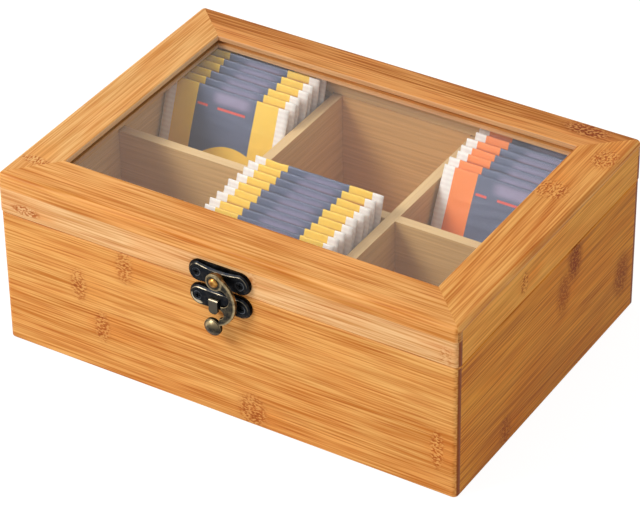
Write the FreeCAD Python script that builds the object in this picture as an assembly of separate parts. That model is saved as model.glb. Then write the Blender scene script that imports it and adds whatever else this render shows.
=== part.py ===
import FreeCAD, Part
import math
import os

# Bamboo tea box with a hinged, glazed lid, six compartments, three rows of tea sachets
# and a swing-hook latch.
#
# Frame: origin under the middle of the box on the face it stands on, +X to the right seen
# from the front, +Y to the back, +Z up.  The latch is on the -Y face.  Millimetres.

V = FreeCAD.Vector

# --- driving dimensions ------------------------------------------------------------------

WIDTH = 240.0            # outside of the lid along X
DEPTH = 172.0            # outside of the lid along Y
HEIGHT = 92.0            # floor to the top of the lid
WALL = 9.0               # thickness of the lid's and the box's side boards
BOX_HEIGHT = 70.5        # floor to the rim of the box
SEAM = 0.3               # gap between the rim of the box and the lid
OVERHANG = 0.3           # how far the lid stands out past the box, at the front and the ends
CORNER_LIP = 3.7         # end of a front or back board that shows at the corner joint
CORNER_RADIUS = 2.5      # rounding of the upright corners
RIM_CHAMFER = 0.6        # broken edges along the seam
FOOT_RADIUS = 1.0        # rounding of the bottom edges

FLOOR = 6.0              # thickness of the floor panel, flush with the bottom of the walls
FLOOR_REBATE = 3.0       # how far the floor panel reaches under the walls' inner faces

DIVIDER = 5.0            # thickness of the dividers
DIVIDER_TOP = 70.0
DIVIDER_TONGUE = 2.0     # how far a divider's end enters its wall
FIT = 0.1                # glue gap round tongues

FRAME_FRONT = 23.7       # widths of the four members of the lid's mitred top frame
FRAME_RIGHT = 23.3
FRAME_BACK = 20.5
FRAME_LEFT = 21.9
FRAME_THICK = 7.6
FRAME_RADIUS = 2.5       # rounding of the frame's outer top edge
WINDOW_RADIUS = 0.8      # rounding of the frame's inner top edge
END_SHOULDER = 3.0       # thickness of the frame over the end boards
PANE_DEPTH = 3.0         # top of the frame to the top of the pane
PANE_THICK = 2.0
PANE_TONGUE = 5.5        # how far the pane enters its groove
GROOVE_END = 0.5         # free room past the pane's edge in the groove
PANE_GAP = 0.35          # free room above and below the pane in the groove

LATCH_X = 0.5            # middle of the latch
PLATE_LENGTH = 32.2      # latch plates, rounded at both ends
PLATE_WIDTH = 11.1
PLATE_BASE = 0.9         # thickness of a plate's flat rim
PLATE_CROWN = 2.6        # height of a plate's raised top
PLATE_BEVEL = 0.9        # width of the bevel round the raised top
LOBE_RADIUS = 5.2        # radius of the raised top round a screw
UPPER_WAIST = 3.9        # half width of the raised top between the screws, upper plate
LOWER_WAIST = 4.9        # and lower plate
SCREW_X = 11.4           # screws to the middle of their plate
UPPER_PLATE_Z = 77.2
LOWER_PLATE_Z = 64.4
SCREW_HEAD = 2.2         # radius of a screw's head
SCREW_CONE = 1.25        # height of its taper
SCREW_SUNK = 0.15        # top of the head below the top of its plate
SCREW_SHANK = 1.0
SCREW_REACH = 6.0        # how far a screw enters the wood
HOLE_DEPTH = 7.0
SINK_DEPTH = 1.5         # countersink of a plate
SINK_ROOM = 0.35         # and how much wider than the head it opens
CROSS_ARM = 1.3          # cross recess of a head: half length,
CROSS_HALF = 0.28        # half width
CROSS_DEPTH = 0.7

CATCH_X = -2.2           # middle of the catch from the middle of its plate
CATCH_WIDTH = 4.6
CATCH_HEIGHT = 4.3       # outer face of the catch from the wood
CATCH_TOP = 1.2          # top and bottom of the catch from the middle of its plate
CATCH_BOTTOM = -6.1
CATCH_THICK = 1.3
CATCH_ROOT = 1.6         # thickness where the catch leaves its plate
CATCH_CORNER = 1.9       # rounding of its lower corners
CATCH_BEND = 1.0         # rounding of its outer bend

HOOK_BACK = 4.6          # back of the hook from the wood, just clear of the catch
HOOK_THICK = 1.7
HOOK_EDGE = 0.5          # rounding of the hook's front edges
EYE_RADIUS = 4.4
SWEEP_CENTRE = (-3.0, -9.8)      # outer curve of the hook, from its pivot
SWEEP_RADIUS = 13.9
BACK_CENTRE = (-20.4, -12.5)     # inner curve
BACK_RADIUS = 23.7
THROAT_CENTRE = (3.3, -7.5)      # the two bites either side of the hook's lip
THROAT_RADIUS = 4.25
NOTCH_CENTRE = (2.2, -16.0)
NOTCH_RADIUS = 2.5
ARM_START = -12.0        # above this the arm lies only to the right of its pivot
BALL_CENTRE = (-1.4, -24.5)      # rounded end of the hook
BALL_RADIUS = 4.4
BALL_CAP = 3.8           # radius of the dome on the rounded end
BALL_RISE = 1.8          # and how far it stands above the hook's face
RIVET_SHANK = 1.6
RIVET_HEAD = 2.4
RIVET_DOME = 1.4
RIVET_GAP = 0.12         # washer and head to the hook between them
RUNNING_FIT = 0.08       # radial clearance of the hook on its rivet
SPACER_RADIUS = 3.3      # washer between the plate and the hook

HINGE_X = 72.0           # middle of a hinge from the middle of the box
HINGE_LENGTH = 24.0
LEAF_HEIGHT = 11.0       # hinge axis to the far edge of a leaf
LEAF_START = 2.4         # hinge axis to its near edge
LEAF_THICK = 0.9
LEAF_CORNER = 1.5        # rounding of its far corners
STRAP_LAP = 0.1          # how far a knuckle's strap laps onto the leaf
STRAP_CLEAR = 0.05       # strap to the wood behind it
KNUCKLE_RADIUS = 2.0
KNUCKLE_CLEAR = 0.2      # barrel to the wood behind it
KNUCKLE_GAP = 0.25       # between neighbouring knuckles
PIN_RADIUS = 1.0
PIN_FIT = 0.06
PIN_END = 0.5            # how far a pin stands out of its barrel
HINGE_SCREW_X = 8.0
HINGE_SCREW_Z = 7.2
HINGE_SCREW_HEAD = 1.7
HINGE_SCREW_RISE = 0.85
SLOT_HALF = 0.25         # half width of a hinge screw's slot
SLOT_DEPTH = 0.35

SACHET_WIDTH = 68.0
SACHET_HEIGHT = 79.0
SACHET_BELLY = 4.7       # thickness over the tea bag
SACHET_EDGE = 0.8        # thickness of the folds and of the crimped ends
SACHET_CRIMP = 5.6       # width of a crimped end
SACHET_BELLY_AT = 0.42   # height of the fullest point, as a part of the sachet's height
SACHET_SHAPE = ((0.4, 0.93), (0.72, 0.55))   # places along the half width, and how full
CRIMP_FULL = 0.1         # how full the crimped ends are
SACHET_CLEAR = 0.05      # sachet to the floor

# Rows of sachets: the compartment's column, the number of sachets, and the lean in degrees
# and the place of the bottom edge along Y, each for the row's front and its back sachet.
SLIDE = (0.6, 2.4)       # how unevenly the sachets of a row stand: to one side,
TWIST = (0.5, 1.7)       # turned about the upright, in degrees,
NOD = (0.2, 2.9)         # and tipped, in degrees; each an amount and a step between sachets
ROWS = {
    "sachet_left": {"column": 0, "count": 7, "lean": (20.6, 15.2), "foot": (11.6, 52.4)},
    "sachet_middle": {"column": 1, "count": 9, "lean": (21.4, 17.4), "foot": (-74.4, -25.8)},
    "sachet_right": {"column": 2, "count": 7, "lean": (25.6, 22.8), "foot": (6.6, 44.6)},
}

# --- sizes that follow -------------------------------------------------------------------

HALF_W = WIDTH / 2
HALF_D = DEPTH / 2
BOX_HALF_W = HALF_W - OVERHANG
BOX_FRONT = -HALF_D + OVERHANG
INNER_W = HALF_W - WALL
INNER_D = HALF_D - WALL
LID_BOTTOM = BOX_HEIGHT + SEAM
FRAME_BOTTOM = HEIGHT - FRAME_THICK
CELL = (2 * INNER_W - 2 * DIVIDER) / 3
CROSS_X = CELL / 2 + DIVIDER / 2
WINDOW = (-HALF_W + FRAME_LEFT, HALF_W - FRAME_RIGHT, -HALF_D + FRAME_FRONT, HALF_D - FRAME_BACK)
PANE_TOP = HEIGHT - PANE_DEPTH
HINGE_Y = HALF_D + KNUCKLE_CLEAR + KNUCKLE_RADIUS
HINGE_Z = BOX_HEIGHT + SEAM / 2
TINY = 1e-6


# --- helpers -----------------------------------------------------------------------------

def block(x0, x1, y0, y1, z0, z1):
    """A box between two corners."""
    return Part.makeBox(x1 - x0, y1 - y0, z1 - z0, V(x0, y0, z0))


def around_window(margin, z0, z1):
    """A box as large as the lid's window and a margin all round."""
    left, right, front, back = WINDOW
    return block(left - margin, right + margin, front - margin, back + margin, z0, z1)


def fuse(shapes):
    """One solid from several that overlap."""
    return shapes[0].multiFuse(shapes[1:]).removeSplitter()


def edges(shape, test):
    """The shape's edges whose two ends both pass a test."""
    return [e for e in shape.Edges
            if len(e.Vertexes) == 2 and all(test(v.Point) for v in e.Vertexes)]


def is_upright(edge):
    """True for an edge that runs along Z."""
    first, last = (v.Point for v in edge.Vertexes)
    return abs(first.x - last.x) < TINY and abs(first.y - last.y) < TINY


def rounded_block(x0, x1, y0, y1, z0, z1):
    """A box with its four upright corners rounded."""
    shape = block(x0, x1, y0, y1, z0, z1)
    return shape.makeFillet(CORNER_RADIUS, [e for e in shape.Edges if is_upright(e)])


def level_edges(shape, z):
    """The outline of the shape at the height z."""
    return edges(shape, lambda p: abs(p.z - z) < TINY)


def disc(centre, radius, height, low=0.0):
    """A flat cylinder standing on the XY plane, for parts that are then laid on the front."""
    return Part.makeCylinder(radius, height, V(centre[0], centre[1], low))


def dome(centre, radius, rise, low):
    """A low dome on a flat round base at the height low."""
    ball = (radius ** 2 + rise ** 2) / (2 * rise)
    cap = Part.makeSphere(ball, V(centre[0], centre[1], low + rise - ball))
    return cap.common(disc(centre, radius, rise + 1, low))


def on_front(shape, z, face=-HALF_D):
    """Lay a part drawn in X and Y, thick along +Z, on the front of the box at height z."""
    shape = shape.copy()
    shape.rotate(V(0, 0, 0), V(1, 0, 0), 90)
    shape.translate(V(LATCH_X, face, z))
    return shape


def save(name, shape):
    """Write one sub-part."""
    if not shape.isValid():
        raise ValueError(name + " is not a valid solid")
    shape.exportStep("parts/" + name + ".step")
    MADE.append((name, len(shape.Solids), shape.Volume))


# --- boards ------------------------------------------------------------------------------

def corner_jointed(ring, half_w, lip_front, lip_back, names):
    """Split a rectangular ring into four boards.  The end boards sit in rabbets, so that
    only a lip of the front and back boards shows beside each upright corner."""
    front_name, back_name, left_name, right_name = names
    tall = HEIGHT + 1
    left_zone = block(-half_w - 1, -INNER_W, lip_front, lip_back, -1, tall)
    right_zone = block(INNER_W, half_w + 1, lip_front, lip_back, -1, tall)
    rest = ring.cut(left_zone).cut(right_zone)
    return {
        front_name: rest.common(block(-WIDTH, WIDTH, -DEPTH, 0, -1, tall)),
        back_name: rest.common(block(-WIDTH, WIDTH, 0, DEPTH, -1, tall)),
        left_name: ring.common(left_zone),
        right_name: ring.common(right_zone),
    }


def screw_holes(y0, y1, z, spread, middle):
    """Pilot holes for two screws, one each side of the middle."""
    holes = [Part.makeCylinder(SCREW_SHANK + FIT, y1 - y0, V(x, y0, z), V(0, 1, 0))
             for x in (middle - spread, middle + spread)]
    return holes[0].fuse(holes[1])


def box_boards():
    """The four walls of the box, rebated for the floor and grooved for the dividers."""
    outer = rounded_block(-BOX_HALF_W, BOX_HALF_W, BOX_FRONT, HALF_D, 0, BOX_HEIGHT)
    outer = outer.makeFillet(FOOT_RADIUS, level_edges(outer, 0))
    outer = outer.makeChamfer(RIM_CHAMFER, level_edges(outer, BOX_HEIGHT))
    ring = outer.cut(block(-INNER_W, INNER_W, -INNER_D, INNER_D, -1, HEIGHT))
    rebate = FLOOR_REBATE + FIT
    ring = ring.cut(block(-INNER_W - rebate, INNER_W + rebate, -INNER_D - rebate, INNER_D + rebate,
                          -1, FLOOR + FIT))
    half = DIVIDER / 2 + FIT
    reach = DIVIDER_TONGUE + FIT
    ring = ring.cut(block(-INNER_W - reach, INNER_W + reach, -half, half, FLOOR, HEIGHT))
    for side in (-1, 1):
        x = side * CROSS_X
        ring = ring.cut(block(x - half, x + half, -INNER_D - reach, INNER_D + reach, FLOOR, HEIGHT))
    boards = corner_jointed(ring, BOX_HALF_W, -HALF_D + CORNER_LIP, HALF_D - CORNER_LIP,
                            ("board_front", "board_back", "board_left", "board_right"))
    boards["board_front"] = boards["board_front"].cut(
        screw_holes(-HALF_D - 1, -HALF_D + HOLE_DEPTH, LOWER_PLATE_Z, SCREW_X, LATCH_X))
    for side in (-1, 1):
        boards["board_back"] = boards["board_back"].cut(
            screw_holes(HALF_D - HOLE_DEPTH, HALF_D + 1, HINGE_Z - HINGE_SCREW_Z,
                        HINGE_SCREW_X, side * HINGE_X))
    return boards


def lid_boards():
    """The four walls of the lid.  The end boards rise into rabbets under the top frame."""
    outer = rounded_block(-HALF_W, HALF_W, -HALF_D, HALF_D, LID_BOTTOM, HEIGHT - END_SHOULDER)
    outer = outer.makeChamfer(RIM_CHAMFER, level_edges(outer, LID_BOTTOM))
    ring = outer.cut(block(-INNER_W, INNER_W, -INNER_D, INNER_D, -1, HEIGHT))
    boards = corner_jointed(ring, HALF_W, -HALF_D + CORNER_LIP, HALF_D - CORNER_LIP,
                            ("lid_board_front", "lid_board_back", "lid_board_left", "lid_board_right"))
    above = block(-WIDTH, WIDTH, -DEPTH, DEPTH, FRAME_BOTTOM, HEIGHT + 1)
    for name in ("lid_board_front", "lid_board_back"):
        boards[name] = boards[name].cut(above)
    boards["lid_board_front"] = boards["lid_board_front"].cut(
        screw_holes(-HALF_D - 1, -HALF_D + HOLE_DEPTH, UPPER_PLATE_Z, SCREW_X, LATCH_X))
    for side in (-1, 1):
        boards["lid_board_back"] = boards["lid_board_back"].cut(
            screw_holes(HALF_D - HOLE_DEPTH, HALF_D + 1, HINGE_Z + HINGE_SCREW_Z,
                        HINGE_SCREW_X, side * HINGE_X))
    return boards


def lid_frame(end_boards):
    """The mitred top frame: four members round the window, grooved for the pane."""
    left, right, front, back = WINDOW
    ring = rounded_block(-HALF_W, HALF_W, -HALF_D, HALF_D, FRAME_BOTTOM, HEIGHT)
    ring = ring.makeFillet(FRAME_RADIUS, level_edges(ring, HEIGHT))
    ring = ring.cut(around_window(0, 0, HEIGHT + 1))
    inner_top = [e for e in level_edges(ring, HEIGHT)
                 if left - 1 < e.CenterOfMass.x < right + 1
                 and front - 1 < e.CenterOfMass.y < back + 1]
    ring = ring.makeFillet(WINDOW_RADIUS, inner_top)
    ring = ring.cut(around_window(PANE_TONGUE + GROOVE_END, PANE_TOP - PANE_THICK - PANE_GAP,
                                  PANE_TOP + PANE_GAP))
    for board in end_boards:
        ring = ring.cut(board)
    mitres = []
    for x, y, window_x, window_y in ((-HALF_W, -HALF_D, left, front), (HALF_W, -HALF_D, right, front),
                                     (HALF_W, HALF_D, right, back), (-HALF_W, HALF_D, left, back)):
        inner, along = V(window_x, window_y, 0), V(x - window_x, y - window_y, 0)
        mitres.append((inner - along * 0.1, inner + along * 3))
    members = {}
    for i, name in enumerate(("frame_front", "frame_right", "frame_back", "frame_left")):
        (start_in, start_out), (end_in, end_out) = mitres[i], mitres[(i + 1) % 4]
        outline = Part.makePolygon([start_in, end_in, end_out, start_out, start_in])
        members[name] = ring.common(Part.Face(outline).extrude(V(0, 0, HEIGHT + 2)))
    return members


def pane():
    """The clear pane, held in the frame's groove."""
    return around_window(PANE_TONGUE, PANE_TOP - PANE_THICK, PANE_TOP)


def floor_panel():
    """The floor of the box, let into rebates along the bottom of the four walls."""
    half_w = INNER_W + FLOOR_REBATE
    half_d = INNER_D + FLOOR_REBATE
    return block(-half_w, half_w, -half_d, half_d, 0, FLOOR)


def dividers():
    """One long divider and two cross dividers, halved over each other.  The cross dividers
    keep their top edges whole."""
    middle = (FLOOR + DIVIDER_TOP) / 2
    half = DIVIDER / 2
    slot = half + FIT / 2
    long_one = block(-INNER_W - DIVIDER_TONGUE, INNER_W + DIVIDER_TONGUE, -half, half,
                     FLOOR, DIVIDER_TOP)
    parts = {}
    for name, side in (("divider_cross_left", -1), ("divider_cross_right", 1)):
        x = side * CROSS_X
        long_one = long_one.cut(block(x - slot, x + slot, -DIVIDER, DIVIDER, middle, HEIGHT))
        cross = block(x - half, x + half, -INNER_D - DIVIDER_TONGUE, INNER_D + DIVIDER_TONGUE,
                      FLOOR, DIVIDER_TOP)
        parts[name] = cross.cut(block(x - DIVIDER, x + DIVIDER, -slot, slot, 0, middle + FIT / 2))
    parts["divider_long"] = long_one
    return parts


# --- latch -------------------------------------------------------------------------------

def bevelled_disc(centre, radius, spread):
    """A disc as high as a plate's raised top, its last part widening by a spread that is
    negative for a bevel on the disc itself."""
    shoulder = PLATE_CROWN - PLATE_BEVEL
    cone = Part.makeCone(radius, radius + spread, PLATE_BEVEL, V(centre[0], centre[1], shoulder))
    return disc(centre, radius, shoulder).fuse(cone)


def latch_plate(waist):
    """A pressed plate: a flat rim, and a bevelled raised top drawn in to a waist between
    its two screws."""
    straight = PLATE_LENGTH / 2 - PLATE_WIDTH / 2
    rim = fuse([block(-straight, straight, -PLATE_WIDTH / 2, PLATE_WIDTH / 2, 0, PLATE_BASE),
                disc((-straight, 0), PLATE_WIDTH / 2, PLATE_BASE),
                disc((straight, 0), PLATE_WIDTH / 2, PLATE_BASE)])
    crown = fuse([block(-straight, straight, -LOBE_RADIUS, LOBE_RADIUS, 0, PLATE_CROWN)]
                 + [bevelled_disc((side * straight, 0), LOBE_RADIUS, -PLATE_BEVEL) for side in (-1, 1)])
    dip = LOBE_RADIUS - waist
    hollow = (straight ** 2 + dip ** 2) / (2 * dip)
    for side in (-1, 1):
        crown = crown.cut(bevelled_disc((0, side * (waist + hollow)), hollow, PLATE_BEVEL))
    plate = fuse([rim, crown])
    for side in (-1, 1):
        plate = plate.cut(screw_seat(side * SCREW_X))
    return plate


def screw_seat(x):
    """The countersink and hole that a plate has for one screw."""
    sink = Part.makeCone(SCREW_SHANK + FIT, SCREW_HEAD + SINK_ROOM, SINK_DEPTH,
                         V(x, 0, PLATE_CROWN - SINK_DEPTH))
    return sink.fuse(disc((x, 0), SCREW_SHANK + FIT, PLATE_CROWN + 2, -1))


def latch_screw(x):
    """A countersunk screw with a cross recess, its head just under the plate's top."""
    top = PLATE_CROWN - SCREW_SUNK
    head = Part.makeCone(SCREW_SHANK, SCREW_HEAD, SCREW_CONE, V(x, 0, top - SCREW_CONE))
    shank = disc((x, 0), SCREW_SHANK, SCREW_REACH + PLATE_CROWN - SCREW_CONE, -SCREW_REACH)
    screw = fuse([head, shank])
    for half_x, half_y in ((CROSS_ARM, CROSS_HALF), (CROSS_HALF, CROSS_ARM)):
        screw = screw.cut(block(x - half_x, x + half_x, -half_y, half_y, top - CROSS_DEPTH, top + 1))
    return screw


def catch():
    """The catch: a tongue that comes straight out of the lower plate and turns down."""
    x0, x1 = CATCH_X - CATCH_WIDTH / 2, CATCH_X + CATCH_WIDTH / 2
    tongue = block(x0, x1, CATCH_BOTTOM, CATCH_TOP, CATCH_HEIGHT - CATCH_THICK, CATCH_HEIGHT)
    tongue = tongue.makeFillet(CATCH_CORNER, [e for e in tongue.Edges if is_upright(e)
                                              and e.Vertexes[0].Point.y < 0])
    root = block(x0, x1, CATCH_TOP - CATCH_ROOT, CATCH_TOP, PLATE_BASE, CATCH_HEIGHT)
    shape = fuse([tongue, root])
    bend = edges(shape, lambda p: abs(p.y - CATCH_TOP) < TINY and abs(p.z - CATCH_HEIGHT) < TINY)
    return shape.makeFillet(CATCH_BEND, bend)


def hook():
    """The swing hook, drawn about its pivot: an eye, a sweeping arm with a lip between two
    bites on its inner side, and a rounded end."""
    arm = disc(SWEEP_CENTRE, SWEEP_RADIUS, HOOK_THICK)
    arm = arm.cut(disc(BACK_CENTRE, BACK_RADIUS, HOOK_THICK))
    arm = arm.cut(block(-3 * SWEEP_RADIUS, 0, ARM_START, SWEEP_RADIUS, -1, HOOK_THICK + 1))
    arm = arm.cut(disc(THROAT_CENTRE, THROAT_RADIUS, HOOK_THICK))
    arm = arm.cut(disc(NOTCH_CENTRE, NOTCH_RADIUS, HOOK_THICK))
    flat = fuse([arm, disc((0, 0), EYE_RADIUS, HOOK_THICK),
                 disc(BALL_CENTRE, BALL_RADIUS, HOOK_THICK)])
    flat = flat.makeFillet(HOOK_EDGE, level_edges(flat, HOOK_THICK))
    shape = fuse([flat, dome(BALL_CENTRE, BALL_CAP, BALL_RISE, HOOK_THICK)])
    shape = shape.cut(disc((0, 0), RIVET_SHANK + RUNNING_FIT, 10, -2))
    shape.translate(V(0, 0, HOOK_BACK))
    return shape


def rivet():
    """The pivot: a washer on the plate, a shank through the hook and a domed head."""
    washer = disc((0, 0), SPACER_RADIUS, HOOK_BACK - RIVET_GAP - PLATE_CROWN, PLATE_CROWN)
    head_low = HOOK_BACK + HOOK_THICK + RIVET_GAP
    shank = disc((0, 0), RIVET_SHANK, head_low + RIVET_DOME / 2)
    return fuse([washer, shank, dome((0, 0), RIVET_HEAD, RIVET_DOME, head_low)])


def latch():
    """The latch's pieces in place, with the hook hanging shut."""
    lower = latch_plate(LOWER_WAIST).fuse(catch()).removeSplitter()
    upper = latch_plate(UPPER_WAIST).cut(disc((0, 0), RIVET_SHANK, 20, -5))
    parts = {
        "latch_plate_lid": on_front(upper, UPPER_PLATE_Z),
        "latch_plate_box": on_front(lower, LOWER_PLATE_Z, BOX_FRONT),
        "latch_rivet": on_front(rivet(), UPPER_PLATE_Z),
        "latch_hook": on_front(hook(), UPPER_PLATE_Z),
    }
    for name, side in (("left", -1), ("right", 1)):
        screw = latch_screw(side * SCREW_X)
        parts["latch_screw_lid_" + name] = on_front(screw, UPPER_PLATE_Z)
        parts["latch_screw_box_" + name] = on_front(screw, LOWER_PLATE_Z, BOX_FRONT)
    return parts


# --- hinges ------------------------------------------------------------------------------

def on_axis(radius, x0, x1):
    """A cylinder round the hinges' axis."""
    return Part.makeCylinder(radius, x1 - x0, V(x0, HINGE_Y, HINGE_Z), V(1, 0, 0))


def leaf(x, side, spans):
    """One leaf, above the axis for side 1 and below it for side -1: a plate on the wood, and
    knuckles that each hang on a strap from the plate."""
    near, far = HINGE_Z + side * LEAF_START, HINGE_Z + side * LEAF_HEIGHT
    half = HINGE_LENGTH / 2
    face = HALF_D + LEAF_THICK
    plate = block(x - half, x + half, HALF_D, face, min(near, far), max(near, far))
    far_corners = [e for e in plate.Edges if abs(e.BoundBox.YLength - LEAF_THICK) < TINY
                   and abs(e.CenterOfMass.z - far) < TINY]
    shape = plate.makeFillet(LEAF_CORNER, far_corners)
    strap_low, strap_high = sorted((HINGE_Z, near + side * STRAP_LAP))
    for low, high in spans:
        strap = block(x + low, x + high, HALF_D + STRAP_CLEAR, face, strap_low, strap_high)
        knuckle = strap.fuse(on_axis(KNUCKLE_RADIUS, x + low, x + high))
        shape = shape.fuse(knuckle.cut(on_axis(PIN_RADIUS + PIN_FIT, x + low, x + high)))
    shape = shape.removeSplitter()
    return shape.cut(screw_holes(HALF_D - 1, face + 1, HINGE_Z + side * HINGE_SCREW_Z, HINGE_SCREW_X, x))


def hinge_screws(x, side):
    """The two round-headed screws of one leaf."""
    shank = disc((0, 0), SCREW_SHANK, SCREW_REACH, -SCREW_REACH)
    screw = fuse([shank, dome((0, 0), HINGE_SCREW_HEAD, HINGE_SCREW_RISE, 0)])
    screw = screw.cut(block(-HINGE_SCREW_HEAD, HINGE_SCREW_HEAD, -SLOT_HALF, SLOT_HALF,
                            HINGE_SCREW_RISE - SLOT_DEPTH, HINGE_SCREW_RISE + 1))
    screw.rotate(V(0, 0, 0), V(1, 0, 0), -90)
    pair = []
    for away in (-HINGE_SCREW_X, HINGE_SCREW_X):
        one = screw.copy()
        one.translate(V(x + away, HALF_D + LEAF_THICK, HINGE_Z + side * HINGE_SCREW_Z))
        pair.append(one)
    return Part.makeCompound(pair)


def hinge(name, x):
    """A butt hinge on the back: the lid's leaf has the middle knuckle."""
    half = HINGE_LENGTH / 2
    third = HINGE_LENGTH / 6
    outer = [(-half, -third - KNUCKLE_GAP), (third + KNUCKLE_GAP, half)]
    return {
        "hinge_" + name + "_leaf_box": leaf(x, -1, outer),
        "hinge_" + name + "_leaf_lid": leaf(x, 1, [(-third, third)]),
        "hinge_" + name + "_pin": on_axis(PIN_RADIUS, x - half - PIN_END, x + half + PIN_END),
        "hinge_" + name + "_screws_box": hinge_screws(x, -1),
        "hinge_" + name + "_screws_lid": hinge_screws(x, 1),
    }


# --- sachets -----------------------------------------------------------------------------

def sachet():
    """One sealed paper sachet standing on its lower fold: full over the tea bag, thin at
    the folds, with a flat crimped strip down each end."""
    half = SACHET_WIDTH / 2
    edge = SACHET_EDGE / 2
    middle = SACHET_HEIGHT * SACHET_BELLY_AT
    one_side = [(place * half, full) for place, full in SACHET_SHAPE]
    one_side += [(half - SACHET_CRIMP, CRIMP_FULL), (half, CRIMP_FULL)]
    profile = [(-x, full) for x, full in reversed(one_side)] + [(0.0, 1.0)] + one_side
    wires = []
    for x, full in profile:
        belly = edge + (SACHET_BELLY / 2 - edge) * full
        low_front, low_back = V(x, -edge, 0), V(x, edge, 0)
        top_front, top_back = V(x, -edge, SACHET_HEIGHT), V(x, edge, SACHET_HEIGHT)
        wires.append(Part.Wire([
            Part.LineSegment(low_back, low_front).toShape(),
            Part.Arc(low_front, V(x, -belly, middle), top_front).toShape(),
            Part.LineSegment(top_front, top_back).toShape(),
            Part.Arc(top_back, V(x, belly, middle), low_back).toShape()]))
    return Part.makeLoft(wires, True, True)


def uneven(amount, number, column):
    """How far one sachet of a row is off its place."""
    size, step = amount
    return size * math.sin(step * number + column)


def sachet_row(name, column, count, lean, foot):
    """A row of sachets standing in one compartment, leaning back and fanned a little."""
    parts = {}
    blank = sachet()
    middle = (column - 1) * 2 * CROSS_X
    for i in range(count):
        share = i / (count - 1)
        tilt = lean[0] + (lean[1] - lean[0]) * share + uneven(NOD, i, column)
        one = blank.copy()
        one.rotate(V(0, 0, 0), V(1, 0, 0), -tilt)
        one.rotate(V(0, 0, 0), V(0, 0, 1), uneven(TWIST, i, column))
        lift = SACHET_EDGE / 2 * math.sin(math.radians(tilt)) + SACHET_CLEAR
        place = foot[0] + (foot[1] - foot[0]) * share
        one.translate(V(middle + uneven(SLIDE, i, column), place, FLOOR + lift))
        parts["%s_%d" % (name, i + 1)] = one
    return parts


# --- build -------------------------------------------------------------------------------

MADE = []
os.makedirs("parts", exist_ok=True)
for old in os.listdir("parts"):
    os.remove(os.path.join("parts", old))

lid_walls = lid_boards()
groups = [box_boards(), {"floor_panel": floor_panel()}, dividers(), lid_walls,
          lid_frame([lid_walls["lid_board_left"], lid_walls["lid_board_right"]]),
          {"pane": pane()}, latch(), hinge("left", -HINGE_X), hinge("right", HINGE_X)]
groups += [sachet_row(name, **row) for name, row in ROWS.items()]
for group in groups:
    for node, solid in group.items():
        save(node, solid)
for node, solids, volume in MADE:
    print("%-28s %d solid(s) %9.1f mm3" % (node, solids, volume))
print(len(MADE), "nodes")
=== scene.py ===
"""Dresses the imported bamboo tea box: bamboo, clear pane, cast latch, filled tea sachets, studio."""

import math

import bmesh
import bpy
from mathutils import Matrix, Vector, noise


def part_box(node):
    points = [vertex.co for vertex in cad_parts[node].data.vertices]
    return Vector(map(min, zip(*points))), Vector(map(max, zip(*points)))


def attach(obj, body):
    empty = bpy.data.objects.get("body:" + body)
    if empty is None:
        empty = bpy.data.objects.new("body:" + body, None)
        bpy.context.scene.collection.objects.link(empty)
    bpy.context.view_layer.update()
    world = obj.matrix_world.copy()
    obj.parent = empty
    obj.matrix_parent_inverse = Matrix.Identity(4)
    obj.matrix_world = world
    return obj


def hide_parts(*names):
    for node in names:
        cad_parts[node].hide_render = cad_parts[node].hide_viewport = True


bl_info = {
    "name": "Bamboo tea box",
    "version": (1, 0, 0),
    "blender": (4, 5, 0),
    "location": "View3D > Sidebar > Tea box",
    "description": "Materials, tea sachets and studio for a hinged bamboo tea box",
    "category": "Object",
}

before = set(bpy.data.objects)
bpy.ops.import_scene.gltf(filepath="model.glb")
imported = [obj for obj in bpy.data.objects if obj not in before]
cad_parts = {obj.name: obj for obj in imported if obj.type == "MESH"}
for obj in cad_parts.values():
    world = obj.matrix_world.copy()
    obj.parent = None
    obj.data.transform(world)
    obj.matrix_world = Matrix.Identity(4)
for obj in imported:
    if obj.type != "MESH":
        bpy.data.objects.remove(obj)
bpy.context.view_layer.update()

MM = 0.001                # m
TO_MM = 1000.0            # a length in metres times this is in mm
X, Y, Z = 0, 1, 2         # the frame's axes

# Laminated bamboo
STRIP_START = -4.0        # mm, where the lowest strip of a board begins
FIBRE_PITCH = 0.85        # mm between fibre lines; the real ones, 0.3 mm, are too fine to show
FIBRE_LENGTH = 38.0       # mm
BAND_PITCH = 4.0          # mm between slow changes of tone
BAND_LENGTH = 110.0       # mm
STREAK_PITCH = 0.8        # mm, thin dark bundles
STREAK_LENGTH = 26.0      # mm
PATCH_SIZE = 22.0         # mm, slow drifts from straw to orange
FLECK_SIZE = 0.95         # mm, the specks in a node of the cane
TINT_REACH = 15.0         # mm, how far the warm tint runs beside a node
STRIP_SHIFT = 900.0       # mm, how far the lines of a strip may be moved along it
BOARD_SHIFT = 7.31        # sets one board's random tones apart from the next one's
FIBRE_TONE = 0.46         # how far a fibre's tone may lie from its board's; 0 deep, 1 pale
DEEP_BAND, PALE_BAND = 0.34, 0.74   # tones of the slow changes
STRIP_TONE = 0.14         # how far a whole strip's tone may lie from its board's
INNER_X, INNER_Y = 111.2, 77.2   # mm, 0.2 past the walls' inner faces, which count as inside
INSIDE_TOP = 84.2         # mm, 0.2 below the lid's rails, which count as outside

# Colours laid over the bamboo's own
BUNDLE = "#d9b08c"        # thin dark bundles
DRIFT = "#fbe2c8"         # slow drifts to orange
PAINTED_TOP_LIGHT_INSIDE = "#fbdcae"      # painted light on upward faces inside the box, such as the upper edges
WARMTH = "#fbe0bc"        # beside a node of the cane
STAIN = "#9c6244"         # around a node
FLECK = "#d2a476"         # dark specks in a node
END_DEEP, END_PALE = "#743408", "#964c16"   # end grain
LIP_PAINTED_LIGHT = "#ffe2b8"      # painted light on a rail's inner face beside the pane
GLUE_LINE = "#6e3a14"     # under a rail

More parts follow.
